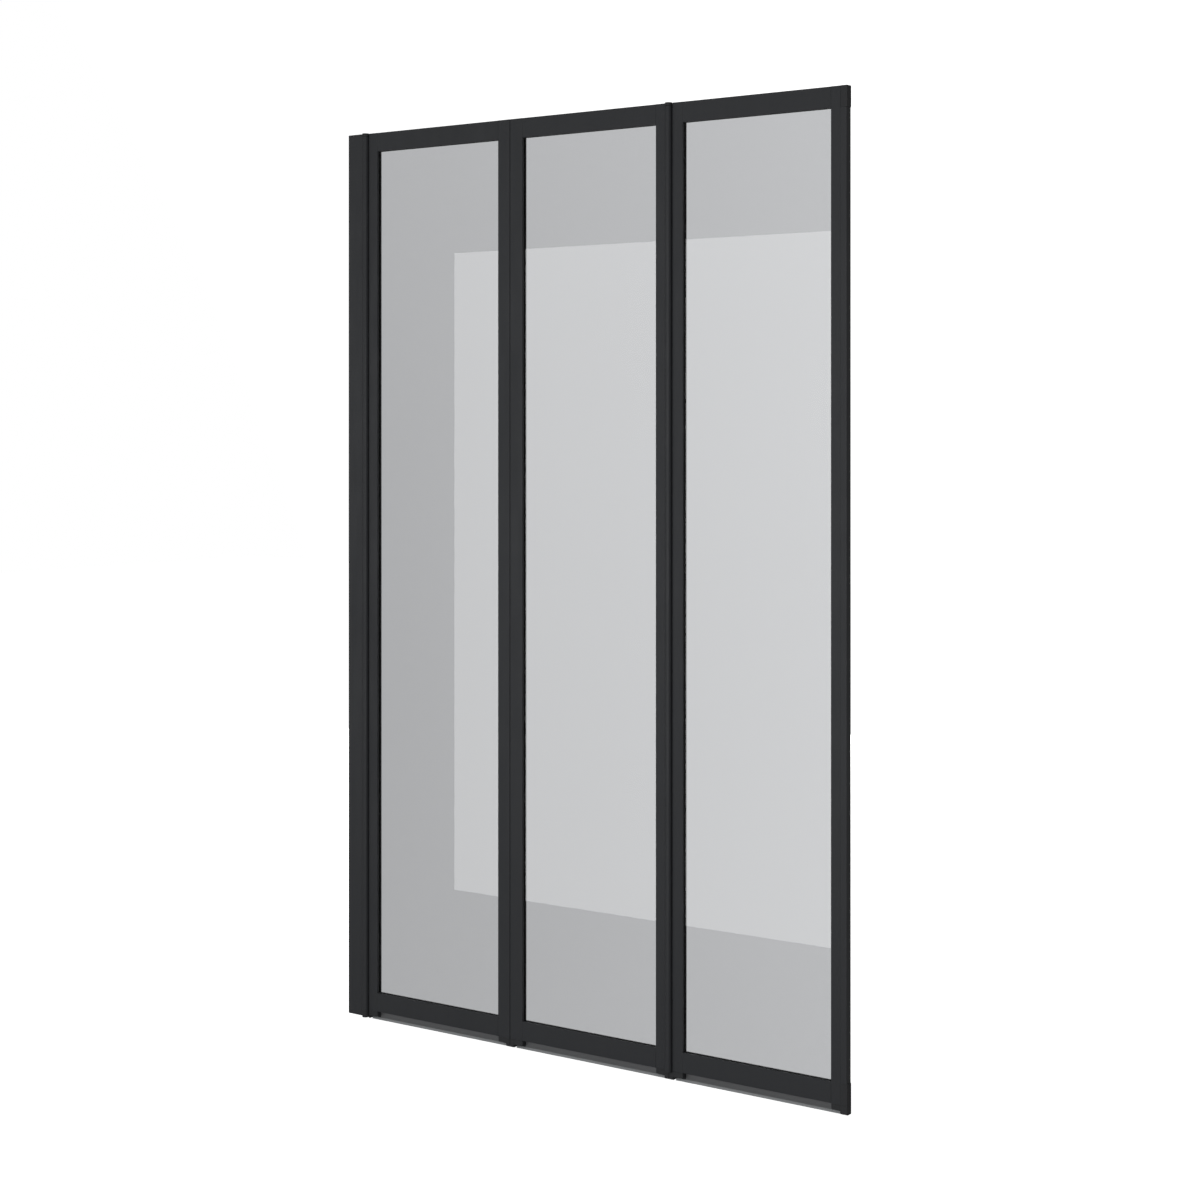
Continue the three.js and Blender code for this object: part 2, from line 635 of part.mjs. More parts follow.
function addFreeEdge() {
  const openingX = FIRST_AXIS + 2 * PITCH + OPENING_END;
  const stileEnd = EDGE_START - FIT;
  const z0 = FRAME_BOTTOM - OVER;
  const z1 = FRAME_TOP + OVER;

  const stile = cut(
    upright(outline([
      [openingX, -FACE, EDGE_R / 2], [stileEnd, -FACE], [stileEnd, FACE], [openingX, FACE, EDGE_R / 2],
    ]), FRAME_BOTTOM, FRAME_TOP),
    box(openingX - OVER, -GROOVE_HALF, z0, openingX + GROOVE_DEPTH, GROOVE_HALF, z1),
    box(openingX + GROOVE_DEPTH + WALL, -CHAMBER_HALF, z0, stileEnd - WALL, CHAMBER_HALF, z1),
  );

  const hollow = (gap) => rectangle(
    EDGE_START + WALL + gap, -CHAMBER_HALF + gap, EDGE_END - WALL - gap, CHAMBER_HALF - gap,
  );
  const profile = cut(
    upright(outline([
      [EDGE_START, -FACE], [EDGE_END, -FACE, NOSE_R], [EDGE_END, FACE, NOSE_R], [EDGE_START, FACE],
    ]), OPENING_BOTTOM + FIT, OPENING_TOP - FIT),
    upright(hollow(0), 0, SCREEN_HEIGHT),
  );

  const capPlan = outline([
    [EDGE_START, -FACE], [CORNER_END, -FACE, CORNER_R], [CORNER_END, FACE, CORNER_R], [EDGE_START, FACE],
  ]);
  const topCap = join(
    upright(capPlan, OPENING_TOP, FRAME_TOP + CAP_PROUD),
    upright(hollow(SLIP), OPENING_TOP - PLUG, OPENING_TOP + OVER),
  );
  const foot = upright(capPlan, 0, FRAME_BOTTOM)
    .intersect(footBlock(EDGE_START, CORNER_END));
  const bottomCap = join(
    upright(capPlan, FRAME_BOTTOM, OPENING_BOTTOM),
    upright(hollow(SLIP), OPENING_BOTTOM - OVER, OPENING_BOTTOM + PLUG),
    foot,
    box(
      EDGE_START + OVER, -FACE + OVER, FRAME_BOTTOM - OVER,
      EDGE_END - OVER, FACE - OVER, FRAME_BOTTOM + OVER,
    ),
  );

  addPiece(screen, "panel_3_end_stile", stile, frameFinish());
  addPiece(screen, "edge_profile", profile, frameFinish());
  addPiece(screen, "corner_cap_top", topCap, plasticFinish());
  addPiece(screen, "corner_cap_bottom", bottomCap, plasticFinish());
}

// ---------------------------------------------------------------- the screen

buildWallPost(screen);
addTubeSide(buildPanel(1, FRONT, WALL_FOOT), 1, BACK);
addTubeSide(buildPanel(2, BACK, SEAM_FOOT), 2, FRONT);
buildPanel(3, FRONT, SEAM_FOOT, EDGE_START - FIRST_AXIS - 2 * PITCH);
addFreeEdge();

export default screen;
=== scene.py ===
# %% [markdown]
# # A three-panel folding bath screen
#
# The real object is a slim aluminium frame with grey glass. A post is screwed to the wall, and
# three framed panes fold as a concertina on upright hinges that look like round beads.
# The sizes, the hinges and the way it folds are settled already in the CAD model, so this
# lesson only gives the object its looks. Every piece is made at the place the CAD gives it,
# in metres, and rides on one of the CAD's bodies, so that it folds with the screen.

# %% Load the frame
import json
import math

import bmesh
import bpy
from mathutils import Matrix, Vector

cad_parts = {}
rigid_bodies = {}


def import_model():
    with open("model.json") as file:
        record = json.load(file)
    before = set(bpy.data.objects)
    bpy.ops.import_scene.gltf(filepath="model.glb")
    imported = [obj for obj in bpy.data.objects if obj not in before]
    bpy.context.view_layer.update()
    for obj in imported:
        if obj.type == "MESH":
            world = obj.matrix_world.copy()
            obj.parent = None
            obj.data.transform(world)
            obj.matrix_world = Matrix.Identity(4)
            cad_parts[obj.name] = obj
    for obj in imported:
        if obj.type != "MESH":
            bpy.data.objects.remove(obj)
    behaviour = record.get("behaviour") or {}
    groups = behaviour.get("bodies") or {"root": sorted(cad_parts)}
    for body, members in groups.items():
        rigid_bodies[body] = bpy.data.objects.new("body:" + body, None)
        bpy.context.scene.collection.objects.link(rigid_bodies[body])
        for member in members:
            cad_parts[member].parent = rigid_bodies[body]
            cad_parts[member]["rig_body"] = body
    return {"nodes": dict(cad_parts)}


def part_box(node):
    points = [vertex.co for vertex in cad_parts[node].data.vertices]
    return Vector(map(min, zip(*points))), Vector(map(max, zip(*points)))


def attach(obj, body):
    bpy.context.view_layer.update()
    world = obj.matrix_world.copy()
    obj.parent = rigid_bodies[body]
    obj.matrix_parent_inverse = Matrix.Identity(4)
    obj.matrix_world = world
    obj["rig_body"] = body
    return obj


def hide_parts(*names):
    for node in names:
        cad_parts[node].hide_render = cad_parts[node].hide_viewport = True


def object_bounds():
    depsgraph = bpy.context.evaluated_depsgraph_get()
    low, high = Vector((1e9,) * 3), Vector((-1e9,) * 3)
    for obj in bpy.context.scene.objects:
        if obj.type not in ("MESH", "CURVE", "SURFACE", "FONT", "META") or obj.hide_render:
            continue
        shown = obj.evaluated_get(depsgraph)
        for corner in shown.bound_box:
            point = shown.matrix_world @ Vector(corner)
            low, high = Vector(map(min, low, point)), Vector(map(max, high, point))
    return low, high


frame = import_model()
cad_low, cad_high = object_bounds()
MM = 0.001
PANELS = (1, 2, 3)
BEAD_PANELS = (1, 2)
print("CAD box in mm:", [round(v / MM, 1) for v in (*cad_low, *cad_high)])

# %% [markdown]
# ## Camera
#
# The screen is seen from the front and from the right, from about two thirds of its height.
# The camera looks level, and the lens is shifted down instead of tilted, so every upright edge
# stays upright in the render. A shift lens does the same for a tall building.

# %% Camera
CAMERA_PLACE = (2.3494, -2.6353, 0.9328)
CAMERA_TURN = math.radians(35.277)
LENS_MM = 66.03
SENSOR_MM = 36.0
LENS_SHIFT = -0.1425

camera_data = bpy.data.cameras.new("studio_camera")
camera_data.lens = LENS_MM
camera_data.sensor_width = SENSOR_MM
camera_data.shift_y = LENS_SHIFT
camera = bpy.data.objects.new("studio_camera", camera_data)
camera.location = CAMERA_PLACE
camera.rotation_euler = (math.radians(90), 0, CAMERA_TURN)
bpy.context.scene.collection.objects.link(camera)
bpy.context.scene.camera = camera
print("camera", LENS_MM, "mm, turned", round(math.degrees(CAMERA_TURN), 1), "degrees")

# %% [markdown]
# ## Backdrop and room light
#
# Dark satin frames show the room more than they show a lamp, so the room is kept simple: an
# even, dim grey light from all round, and a bright backdrop that only the eye and the glass
# look at. A world shader can do both, because the Light Path node tells the two kinds of ray
# apart. A painted wall behind the screen would do the same from one side only, and it would
# stand in the way when the screen is looked at from behind.

# %% World
ROOM_LIGHT = 0.30
BACKDROP_LIGHT = 1.17
BACKDROP_SIDE_SLOPE = 1.25
BACKDROP_UP_SLOPE = 0.33
BACKDROP_MIDDLE = -0.56
BACKDROP_LIMITS = (1.0, 1.3)
WHITE = (1, 1, 1, 1)


def add_math(tree, operation, first, second=None, third=None):
    """A Math node; each input is a number or another node's socket."""
    node = tree.nodes.new("ShaderNodeMath")
    node.operation = operation
    for slot, value in enumerate((first, second, third)):
        if isinstance(value, bpy.types.NodeSocket):
            tree.links.new(value, node.inputs[slot])
        elif value is not None:
            node.inputs[slot].default_value = value
    return node.outputs[0]


def build_world():
    world = bpy.data.worlds.new("studio_room")
    world.use_nodes = True
    tree = world.node_tree
    tree.nodes.clear()
    direction = tree.nodes.new("ShaderNodeTexCoord").outputs["Generated"]
    split = tree.nodes.new("ShaderNodeSeparateXYZ")
    tree.links.new(direction, split.inputs[0])
    across = add_math(tree, "SUBTRACT", split.outputs["X"], BACKDROP_MIDDLE)
    glow = add_math(tree, "MULTIPLY_ADD", across, BACKDROP_SIDE_SLOPE, BACKDROP_LIGHT)
    glow = add_math(tree, "MULTIPLY_ADD", split.outputs["Z"], BACKDROP_UP_SLOPE, glow)
    glow = add_math(tree, "MAXIMUM", glow, BACKDROP_LIMITS[0])
    glow = add_math(tree, "MINIMUM", glow, BACKDROP_LIMITS[1])
    backdrop = tree.nodes.new("ShaderNodeBackground")
    backdrop.inputs["Color"].default_value = WHITE
    tree.links.new(glow, backdrop.inputs["Strength"])
    room = tree.nodes.new("ShaderNodeBackground")
    room.inputs["Color"].default_value = WHITE
    room.inputs["Strength"].default_value = ROOM_LIGHT
    path = tree.nodes.new("ShaderNodeLightPath")
    seen = add_math(tree, "MAXIMUM", path.outputs["Is Camera Ray"], path.outputs["Is Transmission Ray"])
    mix = tree.nodes.new("ShaderNodeMixShader")
    tree.links.new(seen, mix.inputs["Fac"])
    tree.links.new(room.outputs[0], mix.inputs[1])
    tree.links.new(backdrop.outputs[0], mix.inputs[2])
    output = tree.nodes.new("ShaderNodeOutputWorld")
    tree.links.new(mix.outputs[0], output.inputs["Surface"])
    return world


bpy.context.scene.world = build_world()
bpy.context.scene.view_settings.view_transform = "Standard"
print("world: room", ROOM_LIGHT, "backdrop", BACKDROP_LIGHT)

# %% [markdown]
# ## Lamps
#
# A large soft lamp in front and to the left shapes the round beads. A smaller one nearer the
# free edge evens out the faces, and it strikes the sides that look right at a shallow angle, so
# they stay a little darker, which is what makes the slim frames readable. Both hang at about
# half the screen's height. A third lamp overhead draws the top edges, and a fourth stands behind
# and to the left, so that the back can be read too.
#
# The bright rectangle in the panes is a soft-box that stands parallel to the screen. A pane is a
# mirror, so the box shows as if it stood as far behind the glass as it stands in front of it,
# and its size follows from where its edges should lie on the glass. Light linking keeps it to
# the glass, because a satin frame hardly shows it, and keeps the other lamps off the glass,
# where their outlines would cross the panes.

# %% Lamps
def add_lamp(name, place, target, width, height, radiance):
    """A rectangular lamp of a given brightness, whatever its size."""
    data = bpy.data.lights.new(name, "AREA")
    data.shape = "RECTANGLE"
    data.size = width
    data.size_y = height
    data.energy = radiance * math.pi * width * height
    lamp = bpy.data.objects.new(name, data)
    lamp.location = place
    aim = Vector(target) - Vector(place)
    lamp.rotation_euler = aim.to_track_quat("-Z", "Y").to_euler()
    lamp.visible_camera = False
    lamp.visible_transmission = False
    bpy.context.scene.collection.objects.link(lamp)
    return lamp


middle = (cad_low + cad_high) / 2
key_lamp = add_lamp("key_lamp", (-1.9, -3.2, 0.8), middle, 2.4, 2.2, 1.8)
fill_lamp = add_lamp("fill_lamp", (1.25, -2.2, 0.7), middle, 0.8, 1.2, 8.1)
top_lamp = add_lamp("top_lamp", (0.6, -0.9, 3.6), middle, 2.5, 1.6, 0.6)
back_lamp = add_lamp("back_lamp", (-1.3, 3.0, 0.9), middle, 2.4, 2.2, 4.4)

# The soft-box: its edges on the glass, and the same edges carried out to where it stands.
BOX_DISTANCE = 3.2
BOX_RADIANCE = 2.9
EDGE_ON_GLASS = {"left": 0.2121, "top": 1.2030, "bottom": 0.2245}
BOX_RIGHT = 3.4
spread = (BOX_DISTANCE - CAMERA_PLACE[1]) / -CAMERA_PLACE[1]
box_left = CAMERA_PLACE[0] + (EDGE_ON_GLASS["left"] - CAMERA_PLACE[0]) * spread
box_top = CAMERA_PLACE[2] + (EDGE_ON_GLASS["top"] - CAMERA_PLACE[2]) * spread
box_bottom = CAMERA_PLACE[2] + (EDGE_ON_GLASS["bottom"] - CAMERA_PLACE[2]) * spread
box_middle = Vector(((box_left + BOX_RIGHT) / 2, -BOX_DISTANCE, (box_top + box_bottom) / 2))
soft_box = add_lamp(
    "soft_box", box_middle, box_middle + Vector((0, 1, 0)),
    BOX_RIGHT - box_left, box_top - box_bottom, BOX_RADIANCE,
)
soft_box.visible_diffuse = False
panes = bpy.data.collections.new("panes")
soft_box.light_linking.receiver_collection = panes
all_but_panes = bpy.data.collections.new("all_but_panes")
for lamp in (key_lamp, fill_lamp, top_lamp, back_lamp):
    lamp.light_linking.receiver_collection = all_but_panes
print("soft-box", round(BOX_RIGHT - box_left, 2), "x", round(box_top - box_bottom, 2), "m")

# %% [markdown]
# ## Floor
#
# A plain pale floor at the level of the bath rim. It glows a little, so that it is as white as
# the backdrop and no horizon shows, and it is left out of reflections and of the light that
# reaches the screen from below.

# %% Floor
FLOOR_HALF = 9.0
FLOOR_COLOUR = (0.82, 0.82, 0.81, 1)
FLOOR_GLOW = 0.85
floor_mesh = bpy.data.meshes.new("floor")
floor_form = bmesh.new()
bmesh.ops.create_grid(floor_form, x_segments=1, y_segments=1, size=FLOOR_HALF)
floor_form.to_mesh(floor_mesh)
floor_form.free()
floor = bpy.data.objects.new("floor", floor_mesh)
bpy.context.scene.collection.objects.link(floor)
floor_paint = bpy.data.materials.new("floor_paint")
floor_paint.use_nodes = True
floor_shader = floor_paint.node_tree.nodes["Principled BSDF"]
floor_shader.inputs["Base Color"].default_value = FLOOR_COLOUR
floor_shader.inputs["Roughness"].default_value = 0.9
floor_shader.inputs["Emission Color"].default_value = WHITE
floor_shader.inputs["Emission Strength"].default_value = FLOOR_GLOW
floor_mesh.materials.append(floor_paint)
floor.visible_diffuse = False
floor.visible_glossy = False
floor.visible_transmission = False
print("floor", 2 * FLOOR_HALF, "m square")

# %% [markdown]
# ## Shared surface effects
#
# Paint, moulded plastic and rubber differ in their numbers, but they share three effects, so
# each effect is a node group that is built once. *Peel* is the fine dimpling that powder paint
# and a moulded skin leave. *Handling* makes the gloss uneven, as wiping and water do. *Rub*
# lightens the narrow edges, where a coat is thinner. All of them read Object coordinates or an
# attribute that is stored in the mesh, so they stay on the piece when it folds.

# %% Node group helper
def new_group(name, inputs, outputs):
    """A shader node group with named sockets; inputs are (name, kind, default)."""
    tree = bpy.data.node_groups.new(name, "ShaderNodeTree")
    for label, kind, value in inputs:
        socket = tree.interface.new_socket(label, in_out="INPUT", socket_type=kind)
        socket.default_value = value
    for label, kind in outputs:
        tree.interface.new_socket(label, in_out="OUTPUT", socket_type=kind)
    return tree, tree.nodes.new("NodeGroupInput"), tree.nodes.new("NodeGroupOutput")


def add_noise(tree, vector, scale, detail=2.0, roughness=0.5):
    """A Noise texture; the scale is a number or a socket."""
    noise = tree.nodes.new("ShaderNodeTexNoise")
    noise.inputs["Detail"].default_value = detail
    noise.inputs["Roughness"].default_value = roughness
    tree.links.new(vector, noise.inputs["Vector"])
    if isinstance(scale, bpy.types.NodeSocket):
        tree.links.new(scale, noise.inputs["Scale"])
    else:
        noise.inputs["Scale"].default_value = scale
    return noise.outputs["Fac"]


def object_place(tree):
    return tree.nodes.new("ShaderNodeTexCoord").outputs["Object"]


FLOAT, COLOUR = "NodeSocketFloat", "NodeSocketColor"

# %% Peel: fine dimples
FINER_DIMPLES = 3.1
FINER_SHARE = 0.35


def build_peel():
    tree, given, made = new_group("peel", [("Dimples per metre", FLOAT, 700.0)], [("Height", FLOAT)])
    place = object_place(tree)
    broad = add_noise(tree, place, given.outputs[0], detail=1.0)
    finer = add_math(tree, "MULTIPLY", given.outputs[0], FINER_DIMPLES)
    fine = add_noise(tree, place, finer, detail=2.0)
    height = add_math(tree, "MULTIPLY_ADD", fine, FINER_SHARE, broad)
    tree.links.new(height, made.inputs["Height"])
    return tree


peel = build_peel()
print("node group", peel.name)

# %% Handling: uneven gloss
CLOUDS_PER_METRE = 14.0
STREAK_SCALE = (90, 90, 9)
STREAK_SHARE = 0.45
NOISE_RANGE = (0.35, 0.65)


def build_handling():
    tree, given, made = new_group(
        "handling", [("Lowest", FLOAT, 0.4), ("Highest", FLOAT, 0.5)], [("Roughness", FLOAT)]
    )
    place = object_place(tree)
    clouds = add_noise(tree, place, CLOUDS_PER_METRE, detail=3.0, roughness=0.6)
    streaks = tree.nodes.new("ShaderNodeMapping")
    streaks.inputs["Scale"].default_value = STREAK_SCALE
    tree.links.new(place, streaks.inputs["Vector"])
    lines = add_noise(tree, streaks.outputs[0], 1.0, detail=3.0)
    clouds = add_math(tree, "MULTIPLY", clouds, 1 - STREAK_SHARE)
    mixed = add_math(tree, "MULTIPLY_ADD", lines, STREAK_SHARE, clouds)
    gloss = tree.nodes.new("ShaderNodeMapRange")
    gloss.inputs["From Min"].default_value = NOISE_RANGE[0]
    gloss.inputs["From Max"].default_value = NOISE_RANGE[1]
    tree.links.new(mixed, gloss.inputs["Value"])
    tree.links.new(given.outputs["Lowest"], gloss.inputs["To Min"])
    tree.links.new(given.outputs["Highest"], gloss.inputs["To Max"])
    tree.links.new(gloss.outputs[0], made.inputs["Roughness"])
    return tree


handling = build_handling()
print("node group", handling.name)

# %% Rub: paler, thinner edges, and a slight mottle
RUB_PATCHES_PER_METRE = 60.0


def build_rub():
    tree, given, made = new_group(
        "rub",
        [("Colour", COLOUR, (0.02, 0.02, 0.02, 1)), ("Edge colour", COLOUR, (0.05, 0.05, 0.05, 1)),
         ("Edge amount", FLOAT, 0.4), ("Mottle", FLOAT, 0.1), ("Grains per metre", FLOAT, 1500.0)],
        [("Colour", COLOUR)],
    )
    place = object_place(tree)
    edge = tree.nodes.new("ShaderNodeAttribute")
    edge.attribute_name = "edge"
    broken = add_noise(tree, place, RUB_PATCHES_PER_METRE, detail=3.0)
    share = add_math(tree, "MULTIPLY", edge.outputs["Fac"], broken)
    share = add_math(tree, "MULTIPLY", share, given.outputs["Edge amount"])
    rubbed = tree.nodes.new("ShaderNodeMix")
    rubbed.data_type = "RGBA"
    tree.links.new(share, rubbed.inputs["Factor"])
    tree.links.new(given.outputs["Colour"], rubbed.inputs["A"])
    tree.links.new(given.outputs["Edge colour"], rubbed.inputs["B"])
    grain = add_noise(tree, place, given.outputs["Grains per metre"], detail=2.0)
    centred = add_math(tree, "SUBTRACT", grain, 0.5)
    value = add_math(tree, "MULTIPLY_ADD", centred, given.outputs["Mottle"], 1.0)
    shade = tree.nodes.new("ShaderNodeHueSaturation")
    tree.links.new(value, shade.inputs["Value"])
    tree.links.new(rubbed.outputs["Result"], shade.inputs["Color"])
    tree.links.new(shade.outputs["Color"], made.inputs["Colour"])
    return tree


rub = build_rub()
print("node group", rub.name)

# %% [markdown]
# ## Opaque finishes
#
# One function places the three effects in a material, and each finish brings its own values.
# The frames are aluminium under a satin anthracite powder coat: a dielectric skin, so Metallic
# stays at 0 and the gloss comes from a low specular level and a middling roughness. The caps,
# knuckles and feet are moulded plastic in the same grey with a duller, finer grain. The gasket
# and the hinge seals are rubber, which is darker and has hardly any gloss.

# %% A finish made of the shared effects
def place_group(tree, group, **values):
    """The group as a node in a material; an underscore in a name stands for a space."""
    node = tree.nodes.new("ShaderNodeGroup")
    node.node_tree = group
    for label, value in values.items():
        node.inputs[label.replace("_", " ")].default_value = value
    return node


def opaque_finish(name, colour, edge_colour, edge_amount, mottle, gloss_range, dimples, depth,
                  specular=0.5, metallic=0.0, grains=1500.0):
    """A material with the three effects; dimples and grains are per metre, depth is in metres."""
    material = bpy.data.materials.new(name)
    material.use_nodes = True
    tree = material.node_tree
    shader = tree.nodes["Principled BSDF"]
    shader.inputs["Metallic"].default_value = metallic
    shader.inputs["Specular IOR Level"].default_value = specular
    paint = place_group(
        tree, rub, Colour=(*colour, 1), Edge_colour=(*edge_colour, 1),
        Edge_amount=edge_amount, Mottle=mottle, Grains_per_metre=grains,
    )
    tree.links.new(paint.outputs["Colour"], shader.inputs["Base Color"])
    gloss = place_group(tree, handling, Lowest=gloss_range[0], Highest=gloss_range[1])
    tree.links.new(gloss.outputs["Roughness"], shader.inputs["Roughness"])
    skin = place_group(tree, peel, Dimples_per_metre=dimples)
    bump = tree.nodes.new("ShaderNodeBump")
    bump.inputs["Distance"].default_value = depth
    tree.links.new(skin.outputs["Height"], bump.inputs["Height"])
    tree.links.new(bump.outputs["Normal"], shader.inputs["Normal"])
    print("finish", name)
    return material


powder_coat = opaque_finish(
    "anthracite_powder_coat", (0.0208, 0.0222, 0.0248), (0.060, 0.062, 0.066), 0.35, 0.16,
    (0.50, 0.60), dimples=620.0, depth=0.012 * MM, specular=0.28,
)
moulded_plastic = opaque_finish(
    "moulded_plastic", (0.0186, 0.0195, 0.0212), (0.034, 0.035, 0.038), 0.30, 0.10,
    (0.58, 0.68), dimples=1900.0, depth=0.010 * MM, specular=0.30, grains=3000.0,
)
rubber = opaque_finish(
    "gasket_rubber", (0.0215, 0.0220, 0.0228), (0.030, 0.030, 0.031), 0.30, 0.20,
    (0.70, 0.85), dimples=1100.0, depth=0.015 * MM, specular=0.25,
)
acetal = opaque_finish(
    "acetal_bush", (0.72, 0.72, 0.68), (0.80, 0.80, 0.77), 0.30, 0.04,
    (0.30, 0.40), dimples=1500.0, depth=0.004 * MM,
)
turned_steel = opaque_finish(
    "turned_steel", (0.52, 0.53, 0.54), (0.70, 0.70, 0.70), 0.50, 0.10,
    (0.24, 0.36), dimples=2600.0, depth=0.006 * MM, metallic=1.0,
)

# %% [markdown]
# ## Glass
#
# The panes are toughened grey glass, 4 mm thick, which lets through a little under half of the
# light. A closed pane with full transmission does the refraction and the two reflections by
# itself. Its tint is the base colour, which Cycles spreads over the two faces. Toughened glass
# is never quite flat, so a very long, shallow wave bends its reflections a little, and the tint
# drifts by less than one part in a hundred. Its faces are polished, so the roughness stays at 0.

# %% Grey glass
GLASS_TINT = (0.409, 0.415, 0.424)
TINT_DRIFT = 0.008
TINT_CLOUDS_PER_METRE = 3.0
GLASS_IOR = 1.52
WAVES_PER_METRE = 4.0
WAVE_DEPTH = 0.004 * MM


def build_grey_glass():
    material = bpy.data.materials.new("grey_glass")
    material.use_nodes = True
    tree = material.node_tree
    shader = tree.nodes["Principled BSDF"]
    shader.inputs["Transmission Weight"].default_value = 1.0
    shader.inputs["IOR"].default_value = GLASS_IOR
    place = object_place(tree)
    clouds = add_noise(tree, place, TINT_CLOUDS_PER_METRE, detail=1.0)
    tint = tree.nodes.new("ShaderNodeMix")
    tint.data_type = "RGBA"
    tree.links.new(clouds, tint.inputs["Factor"])
    tint.inputs["A"].default_value = (*[v * (1 - TINT_DRIFT) for v in GLASS_TINT], 1)
    tint.inputs["B"].default_value = (*[v * (1 + TINT_DRIFT) for v in GLASS_TINT], 1)
    tree.links.new(tint.outputs["Result"], shader.inputs["Base Color"])
    shader.inputs["Roughness"].default_value = 0.0
    wave = add_noise(tree, place, WAVES_PER_METRE, detail=0.0)
    bump = tree.nodes.new("ShaderNodeBump")
    bump.inputs["Distance"].default_value = WAVE_DEPTH
    tree.links.new(wave, bump.inputs["Height"])
    tree.links.new(bump.outputs["Normal"], shader.inputs["Normal"])
    return material


grey_glass = build_grey_glass()
print("glass tint", GLASS_TINT)

# %% [markdown]
# ## Drip seal finishes
#
# Under each pane hangs an extruded vinyl strip: a stiff grey blade in a slot of the bottom
# rail, and a soft lip that wipes the rim. Extruded vinyl has faint draw lines along its length,
# so its bump is noise that is stretched along X. The blade is painted a little darker towards
# its foot: painted shade. The lip gets paler towards its thin edge, because less vinyl stands
# in the way of the light there; that light is painted into its colour.

# %% Vinyl
VINYL_IOR = 1.53
DRAW_LINE_SCALE = (6, 1800, 1800)
DRAW_LINE_CONTRAST = 0.12
DRAW_LINE_DEPTH = 0.015 * MM


def vinyl(name, colour_top, colour_foot, foot_height, top_height, roughness):
    """Extruded vinyl whose colour changes from its foot to its top: painted shade on the blade, painted
    light showing through on the lip.
    """
    material = bpy.data.materials.new(name)
    material.use_nodes = True
    tree = material.node_tree
    shader = tree.nodes["Principled BSDF"]
    shader.inputs["Roughness"].default_value = roughness
    shader.inputs["IOR"].default_value = VINYL_IOR
    place = object_place(tree)
    split = tree.nodes.new("ShaderNodeSeparateXYZ")
    tree.links.new(place, split.inputs[0])
    rise = tree.nodes.new("ShaderNodeMapRange")
    rise.inputs["From Min"].default_value = foot_height
    rise.inputs["From Max"].default_value = top_height
    tree.links.new(split.outputs["Z"], rise.inputs["Value"])
    stretch = tree.nodes.new("ShaderNodeMapping")
    stretch.inputs["Scale"].default_value = DRAW_LINE_SCALE
    tree.links.new(place, stretch.inputs["Vector"])
    lines = add_noise(tree, stretch.outputs[0], 1.0, detail=2.0)
    uneven = add_math(tree, "SUBTRACT", lines, 0.5)
    share = add_math(tree, "MULTIPLY_ADD", uneven, DRAW_LINE_CONTRAST, rise.outputs[0])
    blend = tree.nodes.new("ShaderNodeMix")
    blend.data_type = "RGBA"
    tree.links.new(share, blend.inputs["Factor"])
    blend.inputs["A"].default_value = (*colour_foot, 1)
    blend.inputs["B"].default_value = (*colour_top, 1)
    tree.links.new(blend.outputs["Result"], shader.inputs["Base Color"])
    bump = tree.nodes.new("ShaderNodeBump")
    bump.inputs["Distance"].default_value = DRAW_LINE_DEPTH
    tree.links.new(lines, bump.inputs["Height"])
    tree.links.new(bump.outputs["Normal"], shader.inputs["Normal"])
    print("finish", name)
    return material


lip_foot, lip_top = (corner.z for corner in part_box("panel_1_drip_lip"))
blade_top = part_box("panel_1_end_block_left")[1].z
# The blade is painted darker towards its foot: painted shade, as on a face that curves away from the
# lamps.
blade_vinyl = vinyl("blade_vinyl", (0.090, 0.092, 0.095), (0.075, 0.077, 0.080), lip_top, blade_top, 0.38)
lip_vinyl = vinyl("lip_vinyl", (0.20, 0.205, 0.21), (0.34, 0.35, 0.36), lip_foot, lip_top, 0.30)

# %% [markdown]
# ## Finishing a piece
#
# Every new piece ends the same way: it becomes an object at the origin, and its sharp edges stay
# sharp while the rest is shaded smooth. A Weighted Normal modifier keeps the large faces flat up
# to their fine rounded edges, which plain smooth shading would not. Then the piece gets its
# material and is told which body it rides on, and the CAD node that it stands for is hidden.

# %% Finish a piece
SMOOTH_UP_TO = math.radians(42)


def finish_piece(form, name, node, material):
    """The bmesh becomes a piece that stands for a CAD node and rides on its body."""
    mesh = bpy.data.meshes.new(name)
    form.to_mesh(mesh)
    form.free()
    mesh.materials.append(material)
    mesh.shade_smooth()
    mesh.set_sharp_from_angle(angle=SMOOTH_UP_TO)
    piece = bpy.data.objects.new(name, mesh)
    bpy.context.scene.collection.objects.link(piece)
    weighted = piece.modifiers.new("flat_faces", "WEIGHTED_NORMAL")
    weighted.keep_sharp = True
    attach(piece, frame["nodes"][node]["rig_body"])
    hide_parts(node)
    return piece


def round_edges(form, edges, width, segments):
    """Bevels the edges, and returns the new faces."""
    made = bmesh.ops.bevel(
        form, geom=edges, offset=width, offset_type="OFFSET", segments=segments,
        profile=0.5, affect="EDGES", clamp_overlap=True, material=-1,
    )
    return made["faces"]


def mark_edge_faces(form, faces):
    """Stores 1 on the points in the middle of rounded edges, for the rub effect."""
    layer = form.verts.layers.float.get("edge") or form.verts.layers.float.new("edge")
    rounded = set(faces)
    for vertex in form.verts:
        if vertex.link_faces and all(face in rounded for face in vertex.link_faces):
            vertex[layer] = 1.0


# %% [markdown]
# ## Frames, caps and feet: softening the CAD shapes
#
# The aluminium sections and the moulded parts have their true shape in the CAD already, down to
# the hollow that each stile has around its bead. What they lack is what catches the light: an
# extrusion has edges rounded by a fraction of a millimetre, and a moulding has softer ones. A
# copy of each node is merged into a closed skin, its flat faces are joined again, and a bevel
# rounds every edge that is sharper than a section's own arcs.

# %% Soften a CAD node
SHARP_FROM = math.radians(50)
MERGE = 0.002 * MM
FLAT_WITHIN = math.radians(0.4)


